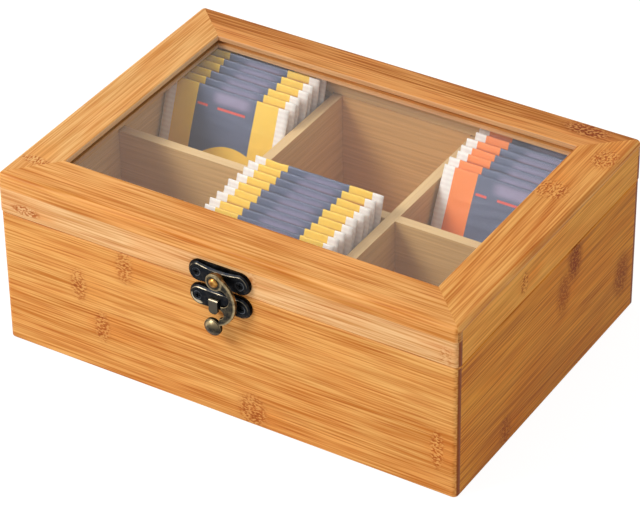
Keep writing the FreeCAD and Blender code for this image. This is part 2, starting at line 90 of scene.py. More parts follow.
# Latch
PLATE_DEPTH = 2.6         # mm, from the wood to the raised top of a plate
LATCH_X = 0.5             # mm right of the box's middle
SCREW_X = 11.4            # mm either side of the latch's middle
LOBE_X = 10.55            # mm, centre of a plate's round end
UPPER_Z, LOWER_Z = 77.2, 64.4   # mm, middle lines of the two plates
SCREW_WELL = 3.5          # mm, radius around a screw where the plating is whole
RING_INNER, RING_OUTER = 2.3, 4.1   # mm, radii of the rubbed ring on a plate's round end
SCREW_RIM = 1.7           # mm, radius where a screw head's rubbed edge begins
EYE_RADIUS = 4.4          # mm, the hook's eye
EYE_RIM = 3.2             # mm, radius where the eye's rubbed edge begins
SWEEP_CENTRE = (-3.0, -9.8)     # mm from the pivot, middle of the hook's outer curve
SWEEP_RADIUS = 13.9       # mm, of that curve
BALL_AT = (-1.4, -24.5)   # mm from the pivot
BALL_REACH = 4.2          # mm, half the ball's width

# Tea sachets
SACHET_WIDTH = 68.0       # mm
SACHET_HEIGHT = 79.0      # mm
SACHET_EDGE = 0.7         # mm, thickness of the folds
BELLY_AT = 0.42           # height of the fullest point, as a part of the whole
RIDGE_PITCH = 2.4         # mm between the ridges of a crimped end
RIDGE_DEPTH = 0.02        # mm
CREASE_DEPTH = 0.35       # mm
END_WAVE = 0.9            # mm, how far a crimped end may bend out of flat
TOP_WAVE = 0.5            # mm, how far the top edge may dip
COLUMNS, ROWS = 24, 132   # cells of one sachet's face
ARCH_DROP = 26.0          # mm below the top where the slate field's wavy end is highest
ARCH_AT = 7.5             # mm right of the middle, the highest place
ARCH_RISE = 6.2           # mm, how much lower the end lies half a field to the side
BAR_DROP = 9.2            # mm below the top, the two thin bars
BAR_HALF = 0.6            # mm, half a bar's thickness
BARS = ((-15.3, -9.6), (-4.0, 11.5))   # mm right of the middle, both ends of each bar
PAINTED_GAP_SHADE_START = 2.5       # mm below the next sachet's top where the painted shade of the gap starts
PAINTED_GAP_SHADE_FADE = 0.9        # mm from there to where the painted shade is darkest
HAZE_DROP = 4.2           # mm below the top, middle of the pale band
HAZE_SIDE = 3.0           # mm right of the middle
HAZE_HALF_WIDTH, HAZE_HALF_HEIGHT = 12.5, 4.2   # mm, half the pale band's size
PAINTED_GAP_SHADE = "#c49682"       # painted shade for the gap, laid over paper that lies against the next sachet

# Stage
FLOOR_GAP = 0.0001        # m, keeps the floor clear of the box's underside
FLOOR_REACH = 4.0         # m, from the middle to each edge
FLOOR_PAINT = 0.8         # the floor's grey
FLOOR_GLOW = 1.25         # brings the floor up to white for rays that see it
GLOW_SHARE = 0.72         # the rest of the floor's colour shows the box's shadow
AIM = (0, 0, 0.04)        # m, where the lamp points
KEY_DISTANCE = 1.6        # m
KEY_SIZE = 0.6            # m
SENSOR_WIDTH = 36.0       # mm
NEAR_CLIP = 0.05          # m


def colour(text):
    """Linear RGBA of an sRGB hex colour."""
    parts = [int(text[i:i + 2], 16) / 255 for i in (1, 3, 5)]
    return (*[c / 12.92 if c <= 0.04045 else ((c + 0.055) / 1.055) ** 2.4 for c in parts], 1.0)


def add(tree, kind, inputs=None, out=0, **settings):
    """Adds a shader node, sets its properties, sets or links its inputs, and gives one output.
    A Mix node of colours takes them at inputs 6 and 7 and gives its result at output 2."""
    node = tree.nodes.new("ShaderNode" + kind)
    for key, value in settings.items():
        setattr(node, key, value)
    for key, value in (inputs or {}).items():
        if isinstance(value, bpy.types.NodeSocket):
            tree.links.new(value, node.inputs[key])
        else:
            node.inputs[key].default_value = value
    return node.outputs[out] if len(node.outputs) else node


def blank(name):
    """A new material with an empty node tree."""
    material = bpy.data.materials.new(name)
    material.use_nodes = True
    material.node_tree.nodes.clear()
    return material, material.node_tree


def dress(node, material):
    """Gives a CAD node's material slots a finish."""
    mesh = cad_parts[node].data
    if not mesh.materials:
        mesh.materials.append(material)
    for index in range(len(mesh.materials)):
        mesh.materials[index] = material


def made_object(name, bm, material):
    """A new object with a bmesh's shape and one material."""
    mesh = bpy.data.meshes.new(name)
    bm.to_mesh(mesh)
    bm.free()
    mesh.materials.append(material)
    obj = bpy.data.objects.new(name, mesh)
    bpy.context.scene.collection.objects.link(obj)
    return obj


def knot_marks(tree, flat, knots):
    """How strongly each place is marked by the cane's nodes: the specks, the warm tint and the
    stain. The ranges are in half sizes of a node."""
    totals = [None, None, None]
    for where, height, length, half, strength, dark in knots:
        side = math.copysign(1.0, strength)
        off = add(tree, "VectorMath", {0: flat, 1: (where, height, 0)}, operation="SUBTRACT")
        near = add(tree, "VectorMath", {0: off, 1: (1 / length, 1 / half, 0)},
                   operation="MULTIPLY")
        reach = add(tree, "VectorMath", {0: near}, out="Value", operation="LENGTH")
        specks = add(tree, "MapRange", {"Value": reach, "From Min": 1.15, "From Max": 0.7,
                                        "To Max": abs(strength)})
        aside = add(tree, "VectorMath", {0: off, 1: (side * TINT_REACH * 0.35, 0, 0)},
                    operation="SUBTRACT")
        wide = add(tree, "VectorMath", {0: aside, 1: (1 / TINT_REACH, 0.9 / half, 0)},
                   operation="MULTIPLY")
        far = add(tree, "VectorMath", {0: wide}, out="Value", operation="LENGTH")
        warm = add(tree, "MapRange", {"Value": far, "From Min": 1.1, "From Max": 0.3,
                                      "To Max": abs(strength)}, interpolation_type="SMOOTHSTEP")
        stain = add(tree, "MapRange", {"Value": reach, "From Min": 1.4, "From Max": 0.3,
                                       "To Max": dark}, interpolation_type="SMOOTHSTEP")
        for place, mark in enumerate((specks, warm, stain)):
            if totals[place] is not None:
                mark = add(tree, "Math", {0: totals[place], 1: mark}, operation="MAXIMUM")
            totals[place] = mark
    return totals


def inside_share(tree, axes):
    """1 on what looks into the box, 0 on the outside."""
    inside = add(tree, "Math", {0: axes[Z], 1: INSIDE_TOP}, operation="LESS_THAN")
    for axis, limit in ((X, INNER_X), (Y, INNER_Y)):
        away = add(tree, "Math", {0: axes[axis]}, operation="ABSOLUTE")
        within = add(tree, "Math", {0: away, 1: limit}, operation="LESS_THAN")
        inside = add(tree, "Math", {0: inside, 1: within}, operation="MULTIPLY")
    return inside


def glued_strips(tree, look, along, across, depth, seed):
    """Each strip's own tone, and the place on it, moved along so that no two strips match."""
    from_start = add(tree, "Math", {0: across, 1: STRIP_START}, operation="SUBTRACT")
    strips = add(tree, "Math", {0: from_start, 1: look.strip_width * TO_MM},
                 operation="DIVIDE")
    index = add(tree, "Math", {0: strips}, operation="FLOOR")
    labelled = add(tree, "Math", {0: index, 1: seed * BOARD_SHIFT}, operation="ADD")
    strip_tone = add(tree, "TexWhiteNoise", {"W": labelled}, noise_dimensions="1D")
    moved = add(tree, "Math", {0: strip_tone, 1: STRIP_SHIFT, 2: along},
                operation="MULTIPLY_ADD")
    return strip_tone, add(tree, "CombineXYZ", {0: moved, 1: across, 2: depth})


def lines(tree, slipped, length, pitch, detail):
    """Lines along the fibre, from 0 to 1."""
    squeezed = add(tree, "VectorMath", {0: slipped, 1: (1 / length, 1 / pitch, 1 / pitch)},
                   operation="MULTIPLY")
    return add(tree, "TexNoise", {"Vector": squeezed, "Scale": 1.0, "Detail": detail,
                                  "Roughness": 0.65})


def board_tone(tree, slipped, fibre, strip_tone, across, split):
    """How pale each place is, from 0 to 1: the fibres, slow changes and the strips' own tones."""
    band = lines(tree, slipped, BAND_LENGTH, BAND_PITCH, 2.0)
    fine = add(tree, "MapRange", {"Value": fibre, "From Min": 0.28, "From Max": 0.72,
                                  "To Min": -FIBRE_TONE, "To Max": FIBRE_TONE})
    slow = add(tree, "MapRange", {"Value": band, "From Min": 0.3, "From Max": 0.7,
                                  "To Min": DEEP_BAND, "To Max": PALE_BAND})
    both = add(tree, "Math", {0: fine, 1: slow}, operation="ADD")
    own = add(tree, "MapRange", {"Value": strip_tone, "To Min": -STRIP_TONE,
                                 "To Max": STRIP_TONE})
    if split is not None:
        edge, lift = split
        paler = add(tree, "Math", {0: across, 1: edge}, operation="LESS_THAN")
        centred = add(tree, "Math", {0: own, 1: lift / 2}, operation="SUBTRACT")
        own = add(tree, "Math", {0: paler, 1: lift, 2: centred}, operation="MULTIPLY_ADD")
    return add(tree, "Math", {0: both, 1: own}, operation="ADD", use_clamp=True)


def drifting(tree, wood, slipped):
    """The wood's colour with thin dark bundles and slow drifts to orange."""
    streak = lines(tree, slipped, STREAK_LENGTH, STREAK_PITCH, 0.0)
    thin = add(tree, "MapRange", {"Value": streak, "From Min": 0.58, "From Max": 0.74,
                                  "To Max": 0.5})
    darker = add(tree, "Mix", {0: thin, 6: wood, 7: colour(BUNDLE)}, out=2, data_type="RGBA",
                 blend_type="MULTIPLY")
    patch_scale = (0.6 / PATCH_SIZE, 1.6 / PATCH_SIZE, 1.6 / PATCH_SIZE)
    patched = add(tree, "VectorMath", {0: slipped, 1: patch_scale}, operation="MULTIPLY")
    patch = add(tree, "TexNoise", {"Vector": patched, "Scale": 1.0, "Detail": 3.0})
    drift = add(tree, "MapRange", {"Value": patch, "From Min": 0.42, "From Max": 0.62,
                                   "To Max": 0.45})
    return add(tree, "Mix", {0: drift, 6: darker, 7: colour(DRIFT)}, out=2, data_type="RGBA",
               blend_type="MULTIPLY")


def knotted(tree, wood, pale, slipped, flat, fibre, knots):
    """The wood's colour with the cane's nodes: warm beside them, stained around, specked in."""
    core, warm, stain = knot_marks(tree, flat, knots)
    fleck_scale = (0.6 / FLECK_SIZE, 1 / FLECK_SIZE, 1 / FLECK_SIZE)
    specked = add(tree, "VectorMath", {0: slipped, 1: fleck_scale}, operation="MULTIPLY")
    speck = add(tree, "TexNoise", {"Vector": specked, "Scale": 1.0, "Detail": 1.0})
    fleck = add(tree, "MapRange", {"Value": speck, "From Min": 0.52, "From Max": 0.58})
    spark = add(tree, "MapRange", {"Value": speck, "From Min": 0.48, "From Max": 0.41,
                                   "To Max": 0.75})
    uneven = add(tree, "MapRange", {"Value": fibre, "From Min": 0.4, "From Max": 0.6,
                                    "To Min": 0.3, "To Max": 0.8})
    deeper = add(tree, "MapRange", {"Value": fibre, "From Min": 0.3, "From Max": 0.7,
                                    "To Min": 0.6})
    for mark, part, over in ((warm, uneven, WARMTH), (stain, deeper, STAIN),
                             (core, fleck, FLECK)):
        share = add(tree, "Math", {0: mark, 1: part}, operation="MULTIPLY")
        wood = add(tree, "Mix", {0: share, 6: wood, 7: colour(over)}, out=2,
                   data_type="RGBA", blend_type="MULTIPLY")
    lit = add(tree, "Math", {0: core, 1: spark}, operation="MULTIPLY")
    return add(tree, "Mix", {0: lit, 6: wood, 7: pale}, out=2, data_type="RGBA")


def edged(tree, wood, scaled, axes, normal, grain, stack, lip, joint):
    """The wood's colour with its end grain, painted light on a rail's inner face beside the pane, and
    the glue line under a rail."""
    turned = add(tree, "Math", {0: normal[grain]}, operation="ABSOLUTE")
    end = add(tree, "MapRange", {"Value": turned, "From Min": 0.75, "From Max": 0.9})
    dots = add(tree, "TexNoise", {"Vector": scaled, "Scale": 1.1, "Detail": 2.0})
    cut = add(tree, "Mix", {0: dots, 6: colour(END_DEEP), 7: colour(END_PALE)}, out=2,
              data_type="RGBA")
    wood = add(tree, "Mix", {0: end, 6: wood, 7: cut}, out=2, data_type="RGBA")
    if lip:
        side = math.copysign(1.0, lip)
        # painted light: a rail's faces turned toward the pane are made paler
        rubbed = add(tree, "MapRange", {"Value": normal[stack], "From Min": side * 0.6,
                                        "From Max": side * 0.9, "To Max": abs(lip)})
        wood = add(tree, "Mix", {0: rubbed, 6: wood, 7: colour(LIP_PAINTED_LIGHT)}, out=2,
                   data_type="RGBA")
    if joint is not None:
        level = add(tree, "Math", {0: axes[Z], 1: joint}, operation="SUBTRACT")
        near = add(tree, "MapRange", {"Value": level, "From Min": 0.45, "From Max": 0.2,
                                      "To Max": 0.4})
        wood = add(tree, "Mix", {0: near, 6: wood, 7: colour(GLUE_LINE)}, out=2,
                   data_type="RGBA")
    return wood


def bamboo(name, look, grain, stack, tone, bare_tone, seed, knots, joint, split, lip, gleam):
    """Caramelised bamboo: strips glued edge to edge, planed with the fibre and lacquered satin
    outside, left bare and paler inside, with painted light on the faces inside that look up. The
    eye gets straight fine lines, strips a little apart in tone, and specked cane nodes. A knot is
    (along, across, half length, half height, strength, stain), the first four in mm, and the
    strength's sign is the tint's side. joint is the height of a glue line under a rail. split is
    (across, tone): the strips on the near side of that place are paler by that tone. lip is how
    much painted light a rail's inner face beside the pane gets, and its sign is the side it faces.
    gleam is the strength of the lacquer's reflections."""
    material, tree = blank(name)
    pale, deep, bare_pale, bare_deep = (
        tuple(getattr(look, part))
        for part in (tone + "_pale", tone + "_deep", bare_tone + "_pale", bare_tone + "_deep"))
    place = add(tree, "TexCoord", out="Object")
    scaled = add(tree, "VectorMath", {0: place, "Scale": TO_MM}, operation="SCALE")
    axes = add(tree, "SeparateXYZ", {0: scaled}).node.outputs
    along, across, depth = axes[grain], axes[stack], axes[X + Y + Z - grain - stack]
    normal = add(tree, "SeparateXYZ", {0: add(tree, "TexCoord", out="Normal")}).node.outputs

    strip_tone, slipped = glued_strips(tree, look, along, across, depth, seed)
    fibre = lines(tree, slipped, FIBRE_LENGTH, FIBRE_PITCH, 0.0)
    shade = board_tone(tree, slipped, fibre, strip_tone, across, split)
    wood = add(tree, "Mix", {0: shade, 6: deep, 7: pale}, out=2, data_type="RGBA")
    wood = drifting(tree, wood, slipped)
    bare = add(tree, "Mix", {0: shade, 6: bare_deep, 7: bare_pale}, out=2, data_type="RGBA")
    # painted light: faces inside the box that look up are made paler
    top = add(tree, "MapRange", {"Value": normal[Z], "From Min": 0.6, "From Max": 0.9,
                                 "To Max": 0.35})
    bare = add(tree, "Mix", {0: top, 6: bare, 7: colour(PAINTED_TOP_LIGHT_INSIDE)}, out=2, data_type="RGBA")
    wood = add(tree, "Mix", {0: inside_share(tree, axes), 6: wood, 7: bare}, out=2,
               data_type="RGBA")
    if knots:
        flat = add(tree, "CombineXYZ", {0: along, 1: across})
        wood = knotted(tree, wood, pale, slipped, flat, fibre, knots)
    wood = edged(tree, wood, scaled, axes, normal, grain, stack, lip, joint)

    rough = add(tree, "MapRange", {"Value": fibre, "To Min": look.gloss - 0.06,
                                   "To Max": look.gloss + 0.08})
    relief = add(tree, "Bump", {"Strength": 0.25, "Distance": 0.04 * MM, "Height": fibre})
    shader = add(tree, "BsdfPrincipled", {"Base Color": wood, "Roughness": rough, "IOR": 1.5,
                                          "Specular IOR Level": gleam, "Normal": relief})
    add(tree, "OutputMaterial", {"Surface": shader})
    return material


# Each board's grain axis, the axis that its strips are stacked along, its colours and its knots
BOARDS = {
    "board_front": (X, Z, "front", [(-78, 44, 4.4, 9, 0.7, 0.3), (-52, 63, 4.6, 9, 0.7, 0.35),
                                   (-66, 25, 4.2, 9, 0.7, 0.3), (15, 8, 7.5, 9.5, 0.7, 0.4),
                                   (110, 24, 3.5, 11, 0.8, 0.1), (-8, 78, 3.2, 6, 0.4, 0.0)]),
    # the right boards' side tones are darker: painted shade for the side away from the lamp
    "board_right": (Y, Z, "side", [(22, 63, 7, 11, 0.5, 1.0), (12, 50, 6.5, 12, 0.45, 0.6),
                                  (71, 25, 7.5, 12, 0.5, 0.8), (-41, 8, 5, 9, 0.5, 0.5)]),
    "board_left": (Y, Z, "front", [(-30, 44, 3.2, 9, 0.8, 0.2), (35, 25, 3.2, 9, 0.8, 0.1)]),
    "board_back": (X, Z, "front", [(-60, 44, 3.2, 9, 0.8, 0.1), (30, 25, 3.2, 9, 0.8, 0.2),
                                  (88, 62, 3.2, 9, 0.8, 0.1)]),
    "lid_board_front": (X, Z, "lid_front", [(-105, 75.5, 8, 2.6, 0.9, 0.4),
                                           (16, 80, 3.2, 5, 0.5, 0.2),
                                           (114, 76, 3.2, 6, 0.5, 0.1)]),
    "lid_board_right": (Y, Z, "lid_side", [(-27, 80, 3.6, 6, 0.9, 0.4)]),
    "lid_board_left": (Y, Z, "lid_front", [(20, 79, 3.2, 7, 0.7, 0.1)]),
    "lid_board_back": (X, Z, "lid_front", [(50, 77, 3.2, 7, 0.8, 0.2)]),
    "frame_front": (X, Y, "front_rail", []),
    "frame_left": (Y, X, "left_rail", [(-69, -110.5, 3.2, 8, 0.9, 0.2)]),
    "frame_right": (Y, X, "right_rail", [(62, 113, 8.5, 6, 0.9, 0.2),
                                         (28, 103, 7.5, 9.5, 0.8, 0.1)]),
    "frame_back": (X, Y, "back_rail", [(95, 79.5, 12, 5, 0.9, 0.6)]),
    "floor_panel": (X, Y, "bare", []),
    "divider_long": (X, Z, "bare", []),
    "divider_cross_left": (Y, Z, "bare", []),
    "divider_cross_right": (Y, Z, "bare", []),
}
JOINTS = {"frame_right": 89.0, "frame_left": 89.0}   # mm, height of the glue line
SPLITS = {"frame_back": (74.5, 0.55)}                # mm along Y, and the tone
# painted light on the rails' inner faces beside the pane: how much, and by its sign the side they
# face
PAINTED_LIP_LIGHT = {"frame_left": 0.6, "frame_back": -0.3}
INSIDES = {"board_back": "bare_back"}                # boards with their own bare colours
GLEAMS = {"side": 0.03, "lid_side": 0.03}            # by colours; the others have PLAIN_GLEAM
PLAIN_GLEAM = 0.1


class TEABOX_OT_boards(bpy.types.Operator):
    """Give every board, rail and divider its own piece of bamboo"""

    bl_idname = "teabox.boards"
    bl_label = "Bamboo"

    def execute(self, context):
        look = context.scene.teabox_bamboo
        for seed, (node, (grain, stack, tone, knots)) in enumerate(BOARDS.items()):
            dress(node, bamboo(f"lacquered_bamboo_{node}", look, grain, stack, tone,
                               INSIDES.get(node, "bare"), seed, knots,
                               JOINTS.get(node), SPLITS.get(node), PAINTED_LIP_LIGHT.get(node, 0),
                               GLEAMS.get(tone, PLAIN_GLEAM)))
        return {"FINISHED"}


def pane_acrylic():
    """Clear acrylic sheet, extruded and polished: sharp reflections, no tint. Its IOR is under
    acrylic's 1.49, which keeps the reflections faint and the inside in plain view."""
    material, tree = blank("clear_acrylic_sheet")
    haze = add(tree, "TexNoise", {"Vector": add(tree, "TexCoord", out="Object"), "Scale": 30.0})
    rough = add(tree, "MapRange", {"Value": haze, "To Min": 0.0, "To Max": 0.03})
    shader = add(tree, "BsdfPrincipled", {"Base Color": colour("#ffffff"), "Roughness": rough,
                                          "Transmission Weight": 1.0, "IOR": 1.28})
    rays = add(tree, "LightPath").node.outputs
    carried = add(tree, "Math", {0: rays["Is Shadow Ray"], 1: rays["Is Diffuse Ray"]},
                  operation="MAXIMUM")
    through = add(tree, "BsdfTransparent", {"Color": colour("#ffffff")})
    mixed = add(tree, "MixShader", {0: carried, 1: shader, 2: through})
    add(tree, "OutputMaterial", {"Surface": mixed})
    return material


class TEABOX_OT_pane(bpy.types.Operator):
    """Make the lid's window clear, and let the lamp shine through it"""

    bl_idname = "teabox.pane"
    bl_label = "Pane"

    def execute(self, context):
        dress("pane", pane_acrylic())
        return {"FINISHED"}


def plate_wear(tree, axes, facing, forward, plate):
    """What limits a plate's pale ridge, which is rubbed and also painted highlight: its front, its
    right end, where the painted highlight from the left fades, and its screws. Then what is paler
    besides,
    as painted highlight: a ring at the lower left of its round end, and its raised top's upper sides."""
    crown, level, share = plate
    front = add(tree, "MapRange", {"Value": axes[Y], "From Min": crown + 0.32,
                                   "From Max": crown + 0.15})
    aside = add(tree, "Math", {0: axes[X], 1: LATCH_X}, operation="SUBTRACT")
    # painted highlight: the ridge is brightest on the left, toward the lamp, and dims to the right
    left = add(tree, "MapRange", {"Value": aside, "From Min": -12.0, "From Max": 14.0,
                                  "To Min": 1.0, "To Max": 0.35})
    mirrored = add(tree, "Math", {0: aside}, operation="ABSOLUTE")
    flat = add(tree, "CombineXYZ", {0: mirrored, 1: axes[Z]})
    to_screw = add(tree, "VectorMath", {0: flat, 1: (SCREW_X, level, 0)}, out="Value",
                   operation="DISTANCE")
    clear = add(tree, "MapRange", {"Value": to_screw, "From Min": SCREW_WELL - 0.2,
                                   "From Max": SCREW_WELL + 0.2})

    # painted highlight: a pale ring on the flat face at the lower left of the round end
    lobe = add(tree, "CombineXYZ", {0: aside, 1: axes[Z]})
    spoke = add(tree, "VectorMath", {0: lobe, 1: (-LOBE_X, level, 0)}, operation="SUBTRACT")
    radius = add(tree, "VectorMath", {0: spoke}, out="Value", operation="LENGTH")
    lean = add(tree, "VectorMath", {0: spoke, 1: (-0.6, -0.8, 0)}, out="Value",
               operation="DOT_PRODUCT")
    rubbed = add(tree, "MapRange", {"Value": lean, "From Min": 1.2, "From Max": 2.1})
    level_face = add(tree, "MapRange", {"Value": forward, "From Min": 0.93, "From Max": 0.98})
    beyond = add(tree, "MapRange", {"Value": radius, "From Min": RING_INNER,
                                    "From Max": RING_INNER + 0.3, "To Max": share})
    within = add(tree, "MapRange", {"Value": radius, "From Min": RING_OUTER,
                                    "From Max": RING_OUTER - 0.3})
    for part in (level_face, beyond, within):
        rubbed = add(tree, "Math", {0: rubbed, 1: part}, operation="MULTIPLY")
    # painted highlight: the raised top's faces that look up are paler
    proud = add(tree, "Math", {0: axes[Y], 1: crown - 0.3}, operation="LESS_THAN")
    painted_top_light = add(tree, "MapRange", {"Value": facing[Z], "From Min": 0.2, "From Max": 0.7,
                                    "To Min": share * 0.14, "To Max": share * 0.65})
    top = add(tree, "Math", {0: proud, 1: painted_top_light}, operation="MULTIPLY")
    return (front, left, clear), [rubbed, top]


def screw_wear(tree, axes, broken, rim):
    """What is rubbed on a screw's head: its outer edge."""
    spot = add(tree, "CombineXYZ", {0: axes[X], 1: axes[Z]})
    out = add(tree, "VectorMath", {0: spot, 1: (*rim, 0)}, out="Value", operation="DISTANCE")
    ring = add(tree, "MapRange", {"Value": out, "From Min": SCREW_RIM,
                                  "From Max": SCREW_RIM + 0.25, "To Max": 0.35})
    return [add(tree, "Math", {0: ring, 1: broken}, operation="MULTIPLY")]


def hook_wear(tree, axes, facing, mottle, pivot):
    """What is paler on the hook: its ball's upper side, a painted highlight, and its eye's edge and
    outer curve, which are rubbed.
    """
    spot = add(tree, "CombineXYZ", {0: axes[X], 1: axes[Z]})
    out = add(tree, "VectorMath", {0: spot, 1: (*pivot, 0)}, out="Value", operation="DISTANCE")
    rim = add(tree, "MapRange", {"Value": out, "From Min": EYE_RIM, "From Max": EYE_RIM + 0.4,
                                 "To Max": 0.7})
    in_eye = add(tree, "Math", {0: out, 1: EYE_RADIUS}, operation="LESS_THAN")
    eye = add(tree, "Math", {0: rim, 1: in_eye}, operation="MULTIPLY")
    centre = (pivot[0] + SWEEP_CENTRE[0], pivot[1] + SWEEP_CENTRE[1], 0)
    swept = add(tree, "VectorMath", {0: spot, 1: centre}, out="Value", operation="DISTANCE")
    curve = add(tree, "MapRange", {"Value": swept, "From Min": SWEEP_RADIUS - 1.3,
                                   "From Max": SWEEP_RADIUS - 0.6})
    in_sweep = add(tree, "Math", {0: swept, 1: SWEEP_RADIUS + 0.2}, operation="LESS_THAN")
    hung = (pivot[0] + BALL_AT[0], pivot[1] + BALL_AT[1], 0)
    ball = add(tree, "VectorMath", {0: spot, 1: hung}, out="Value", operation="DISTANCE")
    off_ball = add(tree, "MapRange", {"Value": ball, "From Min": BALL_REACH - 0.3,
                                      "From Max": BALL_REACH + 0.3})
    for part in (in_sweep, off_ball):
        curve = add(tree, "Math", {0: curve, 1: part}, operation="MULTIPLY")
    # painted highlight on the ball's upper side
    on_ball = add(tree, "Math", {0: 1.0, 1: off_ball}, operation="SUBTRACT")
    painted_top_light = add(tree, "MapRange", {"Value": facing[Z], "From Min": 0.05, "From Max": 0.75,
                                    "To Max": 0.6})
    crown = add(tree, "Math", {0: on_ball, 1: painted_top_light}, operation="MULTIPLY")
    shared = add(tree, "Math", {0: eye, 1: curve}, operation="MAXIMUM")
    uneven = add(tree, "MapRange", {"Value": mottle, "From Min": 0.35, "From Max": 0.6,
                                    "To Min": 0.3, "To Max": 0.85})
    return [crown, add(tree, "Math", {0: shared, 1: uneven}, operation="MULTIPLY")]


def rubbed_metal(name, look, kind, wear, plate=None, rim=None, pivot=None, rough=0.34):
    """Metal that hands have rubbed: zinc cast and plated as old bronze for the latch's plates
    and hook, blackened steel for its screws, brass for its rivet and the hinges. The eye gets a
    dark finish in the hollows and pale ridges where it is worn, and the pale ridges are kept to
    slopes that face up, as a painted highlight. kind names its two colours, and wear is how much
    of the faces is worn too. plate is (front of the raised top, height of the middle line, share
    of painted highlight at the lower left). rim is the middle of a screw whose outer edge is
    rubbed. pivot is the middle of a hook's eye: the eye's edge and the hook's outer curve are
    rubbed, and its ball's upper side gets a painted highlight."""
    material, tree = blank(name)
    dark, worn = (tuple(getattr(look, kind + part)) for part in ("_dark", "_worn"))
    coordinates = add(tree, "TexCoord", out="Object").node.outputs
    scaled = add(tree, "VectorMath", {0: coordinates["Object"], "Scale": TO_MM}, operation="SCALE")
    axes = add(tree, "SeparateXYZ", {0: scaled}).node.outputs
    mottle = add(tree, "TexNoise", {"Vector": scaled, "Scale": 0.55, "Detail": 4.0,
                                    "Roughness": 0.65})
    cloud = add(tree, "TexNoise", {"Vector": scaled, "Scale": 0.24, "Detail": 2.0})
    facing = add(tree, "SeparateXYZ", {0: coordinates["Normal"]}).node.outputs
    forward = add(tree, "Math", {0: facing[Y], 1: -1.0}, operation="MULTIPLY")
    ridge = add(tree, "MapRange", {"Value": forward, "From Min": 0.6, "From Max": 0.74})
    fall = add(tree, "MapRange", {"Value": forward, "From Min": 0.95, "From Max": 0.85})
    # painted highlight: the pale ridges are kept to slopes that face up
    above = add(tree, "MapRange", {"Value": facing[Z], "From Min": -0.15, "From Max": 0.2,
                                   "To Max": 0.85})
    broken = add(tree, "MapRange", {"Value": cloud, "From Min": 0.38, "From Max": 0.56,
                                    "To Min": 0.1})
    faces = add(tree, "MapRange", {"Value": mottle, "From Min": 0.42, "From Max": 0.7,
                                   "To Max": wear})
    limits, extra = (), []
    if plate is not None:
        limits, extra = plate_wear(tree, axes, facing, forward, plate)
    if rim is not None:
        extra = screw_wear(tree, axes, broken, rim)
    if pivot is not None:
        extra = hook_wear(tree, axes, facing, mottle, pivot)
    for part in (fall, above, *limits, broken):
        ridge = add(tree, "Math", {0: ridge, 1: part}, operation="MULTIPLY")
    shown = ridge
    for more in (faces, *extra):
        shown = add(tree, "Math", {0: shown, 1: more}, operation="MAXIMUM")
    metal = add(tree, "Mix", {0: shown, 6: dark, 7: worn}, out=2, data_type="RGBA")
    satin = add(tree, "MapRange", {"Value": mottle, "To Min": rough - 0.08,
                                   "To Max": rough + 0.1})
    relief = add(tree, "Bump", {"Strength": 0.3, "Distance": 0.05 * MM, "Height": mottle})
    shader = add(tree, "BsdfPrincipled", {"Base Color": metal, "Metallic": 1.0,
                                          "Roughness": satin, "Normal": relief})
    add(tree, "OutputMaterial", {"Surface": shader})
    return material


class TEABOX_OT_latch(bpy.types.Operator):
    """Finish the latch's plates, screws, rivet and hook, and the hinges"""

    bl_idname = "teabox.latch"
    bl_label = "Latch and hinges"

    def execute(self, context):
        look = context.scene.teabox_metal
        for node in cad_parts:
            if node.startswith("latch_plate"):
                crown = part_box(node)[1][Y] * TO_MM - PLATE_DEPTH
                # share is the strength of the painted highlight at the lower left of a plate's round
                # end
                level, share = (UPPER_Z, 0.0) if node.endswith("lid") else (LOWER_Z, 0.9)
                dress(node, rubbed_metal(f"old_bronze_{node}", look, "plate", wear=0.03,
                                         plate=(crown, level, share), rough=0.38))
            elif node.startswith("latch_screw"):
                low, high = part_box(node)
                rim = [(low[axis] + high[axis]) / 2 * TO_MM for axis in (X, Z)]
                dress(node, rubbed_metal(f"blackened_steel_{node}", look, "screw", wear=0.08,
                                         rim=rim))
            elif node == "latch_hook":
                dress(node, rubbed_metal("worn_bronze_hook", look, "hook", wear=0.22,
                                         pivot=(LATCH_X, UPPER_Z)))
            elif node == "latch_rivet":
                dress(node, rubbed_metal("brass_rivet", look, "rivet", wear=0.8, rough=0.36))
            elif node.startswith("hinge"):
                dress(node, rubbed_metal(f"brass_plate_{node}", look, "hinge", wear=0.45,
                                         rough=0.4))
        return {"FINISHED"}


